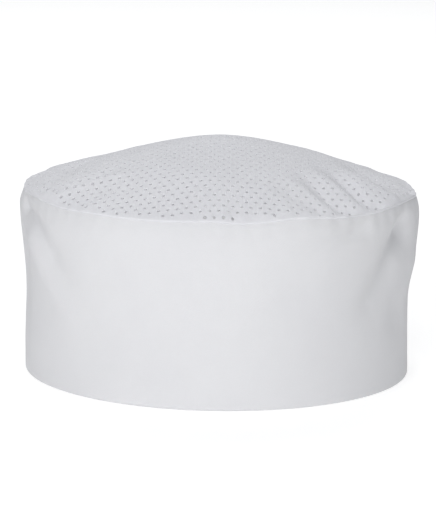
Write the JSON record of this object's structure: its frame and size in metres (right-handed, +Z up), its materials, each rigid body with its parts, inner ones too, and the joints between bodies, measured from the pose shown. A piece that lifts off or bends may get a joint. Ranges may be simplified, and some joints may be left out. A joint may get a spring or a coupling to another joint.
{
  "type": "chef toque",
  "caption": "Low round chef's toque with a deep cloth band, a domed perforated mesh crown, a terry sweatband and an adjustable hook-and-loop tab at the rear vent.",
  "frame": {"origin": "centre of the hat's round outline, on the plane of the band's lower edge", "axes": "+Z up from the lower edge to the crown, front faces -Y, rear vent and closing tab at +Y"},
  "size_m": [0.196, 0.196, 0.115],
  "materials": {
    "band_twill": "matt white polyester and cotton twill, pressed smooth",
    "interlining": "plain white non-woven stiffening",
    "crown_mesh": "matt white warp-knit mesh with small round eyelets in staggered rows",
    "binding_tape": "plain-weave white cotton tape",
    "terry": "soft white looped terry towelling",
    "sewing_thread": "white spun polyester thread with a slight sheen",
    "loop_pile": "fuzzy white knitted nylon loop tape",
    "hook_nylon": "white woven nylon tape with fine stiff hooks",
    "label_satin": "blank white satin ribbon"
  },
  "bodies": {
    "hat": {"band_shell": "band_twill", "band_interlining": "interlining", "mesh_crown": "crown_mesh", "crown_seam_thread": "sewing_thread", "seam_binding": "binding_tape", "binding_thread": "sewing_thread", "sweatband": "terry", "sweatband_thread": "sewing_thread", "vent_binding": "binding_tape", "vent_thread": "sewing_thread", "tab_base": "band_twill", "tab_base_thread": "sewing_thread", "loop_tape": "loop_pile", "loop_thread": "sewing_thread", "label_base": "label_satin", "label_thread": "sewing_thread"},
    "tab": {"tab_strap": "band_twill", "hook_tape": "hook_nylon", "hook_thread": "sewing_thread"},
    "label": {"care_label": "label_satin"}
  },
  "joints": [
    {"name": "tab_peel", "type": "hinge", "parent": "hat", "child": "tab", "pos_m": [-0.03338, 0.09113, 0.016], "axis": [0, 0, 1], "range_deg": [0, 150]},
    {"name": "label_flip", "type": "hinge", "parent": "hat", "child": "label", "pos_m": [0, 0.09224, 0.0815], "axis": [-1, 0, 0], "range_deg": [0, 110]}
  ]
}
